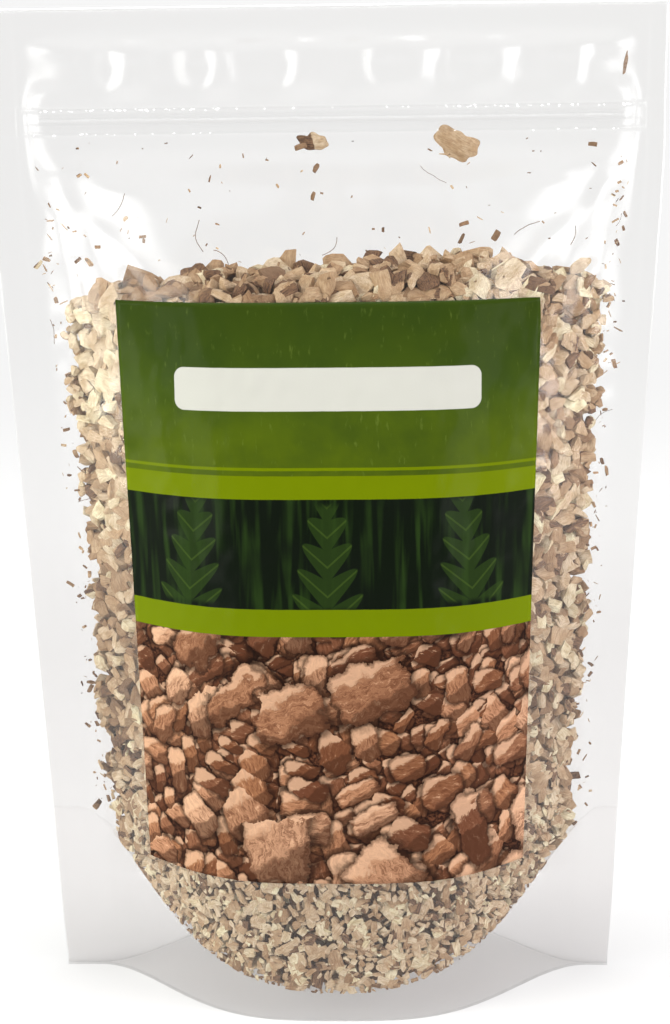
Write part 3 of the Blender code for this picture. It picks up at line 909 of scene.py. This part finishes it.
def build_specks():
    """Dust and crumbs that cling to the film: along the sides, in the corners and over the heap."""
    rng = np.random.default_rng(33)
    at_sides, at_head, at_foot = 240, 120, 200
    sides = rng.choice((-1.0, 1.0), at_sides)
    edge_z = rng.uniform(12, 208, at_sides)
    edge_u = sides * np.clip(rng.normal(68.6, 1.4, at_sides), 64, 72)
    head_u, head_z = rng.uniform(-70, 70, at_head), rng.uniform(176, 209, at_head)
    foot_u = rng.uniform(-60, 60, at_foot)
    foot_z = seal_height(foot_u) + np.abs(rng.normal(0.5, 0.6, at_foot)) + 0.3
    u = np.concatenate([edge_u, head_u, foot_u])
    z = np.concatenate([edge_z, head_z, foot_z])
    keep = z > seal_height(u) + 0.3
    u, z = u[keep], z[keep]
    x, depth = film_place(u, z)
    size = np.clip(np.exp(rng.normal(-0.65, 0.5, len(u))), 0.2, 1.5)
    centres = np.column_stack([x, -(depth - 0.3), z])
    normal = np.tile((0.0, -1.0, 0.0), (len(u), 1))
    scatter("clinging_specks", rng, CRUMBS, centres, turned(rng, normal, 0.3), size,
            tones_for(rng, len(u), 0.9, 2.2), 0.62, inside_bag(0.1, -1), sharp=30)


# Where the root hairs start, as running length and height, and the steps that each bends in
HAIRS = ((-30, 184), (-24, 181), (27, 199), (57, 184), (68, 188), (-2, 183), (-70, 161), (66, 141),
         (-68, 122), (43, 187), (-52, 192))
HAIR_STEPS = 9


def build_rootlets(material):
    """Fine root hairs caught between the film and the heap: thin bent tubes."""
    rng = np.random.default_rng(41)
    bm = bmesh.new()
    for start_u, start_z in HAIRS:
        length = rng.uniform(3, 8)
        angle = rng.uniform(0, math.pi)
        bend = rng.uniform(-0.12, 0.12)
        radius = rng.uniform(0.05, 0.09)
        ring = bmesh.ops.create_circle(bm, segments=5, radius=radius, cap_ends=True)["verts"]
        faces = [face for face in bm.faces if all(vert in ring for vert in face.verts)]
        u, z = start_u, start_z
        x, depth = film_place(u, z)
        turn = Matrix.Rotation(math.pi / 2, 3, "X")
        at = Vector((float(x), -float(depth) + 0.4, z))
        for vert in ring:
            vert.co = at + turn @ vert.co
        for _ in range(HAIR_STEPS):
            angle += bend + rng.normal(0, 0.12)
            grown = bmesh.ops.extrude_face_region(bm, geom=faces)["geom"]
            faces = [item for item in grown if isinstance(item, bmesh.types.BMFace)]
            verts = [item for item in grown if isinstance(item, bmesh.types.BMVert)]
            u += math.cos(angle) * length / HAIR_STEPS
            z += math.sin(angle) * length / HAIR_STEPS
            x, depth = film_place(u, z)
            new = Vector((float(x), -float(depth) + 0.4, z))
            bmesh.ops.translate(bm, verts=verts, vec=new - at)
            at = new
    bmesh.ops.recalc_face_normals(bm, faces=bm.faces)
    bmesh.ops.scale(bm, vec=(MM, MM, MM), verts=bm.verts)
    mesh = mesh_of(bm, "root_hairs")
    mesh.shade_smooth()
    return new_piece("root_hairs", mesh, material)


def build_weld_beads(material):
    """Small blisters of air along the weld lines of the zip."""
    rng = np.random.default_rng(52)
    bm = bmesh.new()
    for line, count in ((ZIP_HIGH - 0.4, 90), (ZIP_LOW + 0.3, 22)):
        places = np.where(rng.random(count) < 0.7,
                          rng.choice((-1, 1), count) * rng.uniform(25, 71, count),
                          rng.uniform(-70, 70, count))
        for u in places:
            x, depth = film_place(u, line)
            at = Vector((float(x), -float(depth) - 0.32, line + rng.normal(0, 0.12)))
            bead = bmesh.ops.create_icosphere(bm, subdivisions=1, radius=rng.uniform(0.1, 0.24))["verts"]
            bmesh.ops.scale(bm, vec=(rng.uniform(1.0, 2.2), 0.6, 1), verts=bead)
            bmesh.ops.translate(bm, vec=at, verts=bead)
    bmesh.ops.scale(bm, vec=(MM, MM, MM), verts=bm.verts)
    mesh = mesh_of(bm, "weld_beads")
    mesh.shade_smooth()
    return new_piece("weld_beads", mesh, material)


def glowing_bead_plastic():
    g = Graph("weld_bead")
    cloud = g.noise(g.place(), 700, 2, 0.5)
    colour = g.mix(cloud, (0.9, 0.9, 0.9), (1.0, 1.0, 1.0))
    # The beads give off a little light of their own: painted glints along the zip's weld lines.
    shader = g.node("ShaderNodeBsdfPrincipled", {"Base Color": colour, "Roughness": 0.2,
                                                 "Emission Color": (1, 1, 1, 1), "Emission Strength": 0.25})
    return g.finish(shader.outputs[0])


ROOT = cut_root()
# The core's colour, darker than the chips, is painted shade for the deep gaps in the filling.
SHADE_CORE = plain_root("root_core_painted_shade", srgb(124, 90, 60))
HAIR = plain_root("root_hair", srgb(120, 84, 56))
# The last colour is the foot tint: painted shade that makes the film darker low down.
FILM_LOOK = clear_plastic("clear_film", (0.994, 0.993, 0.991), 0.055, 0.18, (0.936, 0.932, 0.931))
WELDED_LOOK = clear_plastic("welded_film", (0.999, 0.998, 0.998), 0.012, 0.1)
ZIP_LOOK = clear_plastic("zip_plastic", (0.993, 0.993, 0.993), 0.015, 0.12)
GLOWING_BEAD_LOOK = glowing_bead_plastic()
LABEL_LOOK = label_print()

build_film("film_front", -1, FILM_LOOK, "front_film")
build_film("film_back", 1, FILM_LOOK, "back_film")
build_gusset(WELDED_LOOK)
build_label(LABEL_LOOK)
build_core(SHADE_CORE)
build_side("chips_front", 11, -1)
build_side("chips_back", 12, 1)
build_fines("fines_front", 13, -1)
build_fines("fines_back", 14, 1)
build_heap([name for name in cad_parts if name.startswith("top_chip")])
build_flake("flake_by_zip_left", (-2.6, 0, 208.5), (3.6, 0.85, 2.1), 0.1, 61, 0.7, True,
            ["chip_by_zip_left"])
build_flake("flake_by_zip_right", (31.2, 0, 207.6), (5.2, 0.95, 3.6), 0.5, 71, 0.5, False,
            ["chip_by_zip_right"])
build_flake("sliver_above_zip", (70.3, 0, 225.6), (0.5, 0.3, 2.7), 0.15, 83, 0.1)
build_specks()
build_rootlets(HAIR)
build_weld_beads(GLOWING_BEAD_LOOK)
for name in ("zip_front", "zip_back"):
    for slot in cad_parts[name].material_slots:
        slot.material = ZIP_LOOK


# Floor, light and camera


# The floor, in metres: how far it starts before the bag, its whole run, the flat stretch and the
# length of the bend up to the backdrop
FLOOR_START = -1.6
FLOOR_RUN = 4.2
FLOOR_FLAT = 0.9
FLOOR_BEND = 1.1
FLOOR_HALF_WIDTH = 3


def build_stage():
    """A pale floor that sweeps up behind the bag."""
    bm = bmesh.new()
    bmesh.ops.create_grid(bm, x_segments=1, y_segments=40, size=1)
    mesh = mesh_of(bm, "floor_sweep")
    flat = read_places(mesh)
    run = (flat[:, 1] + 1) / 2 * FLOOR_RUN + FLOOR_START
    bend = np.clip((run - FLOOR_FLAT) / FLOOR_BEND, 0, 1)
    angle = bend * math.pi / 2
    radius = FLOOR_BEND / (math.pi / 2)
    y = np.where(run < FLOOR_FLAT, run, FLOOR_FLAT + radius * np.sin(angle))
    z = np.where(run < FLOOR_FLAT, 0, radius * (1 - np.cos(angle)))
    z = z + np.maximum(run - FLOOR_FLAT - FLOOR_BEND, 0)
    write_places(mesh, np.column_stack([flat[:, 0] * FLOOR_HALF_WIDTH, y, z]))
    mesh.shade_smooth()
    floor = bpy.data.objects.new("floor_sweep", mesh)
    bpy.context.scene.collection.objects.link(floor)
    g = Graph("pale_floor")
    away = g.node("ShaderNodeSeparateXYZ", {"Vector": g.place()}).outputs[1]
    # The paint gives off a little light of its own, more of it towards the backdrop.
    glow = 0.25
    for start, end, rise in ((-0.4, -0.12, 0.10), (0.06, 0.5, 0.15), (0.5, 1.5, 0.155)):
        glow = g.math("MULTIPLY_ADD", g.step(away, start, end), rise, glow)
    paint = g.node("ShaderNodeBsdfPrincipled", {"Base Color": (0.47, 0.47, 0.47, 1), "Roughness": 0.9,
                                                "Emission Color": (1, 1, 1, 1), "Emission Strength": glow})
    mesh.materials.append(g.finish(paint.outputs[0]))


def softbox(name, place, aim, width, height, power, colour=(1, 1, 1)):
    """A soft panel of light, turned to its aim: sizes in metres, power in watts."""
    light = bpy.data.lights.new(name, "AREA")
    light.shape = "RECTANGLE"
    light.size = width
    light.size_y = height
    light.spread = math.radians(110)
    light.energy = power
    light.color = colour
    obj = bpy.data.objects.new(name, light)
    obj.location = place
    obj.rotation_euler = (Vector(aim) - Vector(place)).to_track_quat("-Z", "Y").to_euler()
    bpy.context.scene.collection.objects.link(obj)


build_stage()
softbox("softbox_overhead", (0.0, 0.0, 1.05), (0, 0, 0.1), 1.4, 0.4, 4.4)
softbox("softbox_left", (-0.62, -0.79, 0.20), (0, 0, 0.19), 0.32, 0.38, 0.56, (1, 1, 0.97))
softbox("softbox_right", (0.56, -0.83, 0.20), (0, 0, 0.19), 0.32, 0.38, 0.56)
softbox("panel_left", (-0.9, -0.3, 0.35), (0, 0, 0.12), 0.6, 0.7, 4.3, (1, 1, 0.93))
softbox("panel_right", (0.9, -0.3, 0.35), (0, 0, 0.12), 0.6, 0.7, 3.6, (1, 0.96, 0.98))

scene = bpy.context.scene
world = bpy.data.worlds.new("studio")
world.use_nodes = True
world.node_tree.nodes["Background"].inputs["Color"].default_value = (1, 1, 1, 1)
world.node_tree.nodes["Background"].inputs["Strength"].default_value = 0.35
scene.world = world
scene.view_settings.view_transform = "Standard"
scene.cycles.transparent_max_bounces = 24
scene.cycles.max_bounces = 6
scene.cycles.diffuse_bounces = 3
scene.cycles.glossy_bounces = 2

# The camera's place in metres and its turns, its focal length and the frame's height in pixels, and
# the sensor's size in millimetres
CAMERA_AT = (0.02192, -0.53536, 0.24647)
YAW, PITCH, ROLL = math.radians(-2.21), math.radians(13.39), math.radians(-0.85)
FOCAL_PIXELS = 2254.3
FRAME_PIXELS = 1024
SENSOR = 36


def place_camera():
    ahead = Vector((math.sin(YAW) * math.cos(PITCH), math.cos(YAW) * math.cos(PITCH), -math.sin(PITCH)))
    right = Vector((math.cos(YAW), -math.sin(YAW), 0))
    up = right.cross(ahead)
    right, up = (math.cos(ROLL) * right + math.sin(ROLL) * up,
                 math.cos(ROLL) * up - math.sin(ROLL) * right)
    data = bpy.data.cameras.new("camera")
    data.sensor_width = SENSOR
    data.lens = FOCAL_PIXELS / FRAME_PIXELS * SENSOR
    data.clip_start = 0.01
    camera = bpy.data.objects.new("camera", data)
    camera.matrix_world = Matrix.Translation(CAMERA_AT) @ Matrix((right, up, -ahead)).transposed().to_4x4()
    scene.collection.objects.link(camera)
    scene.camera = camera


place_camera()
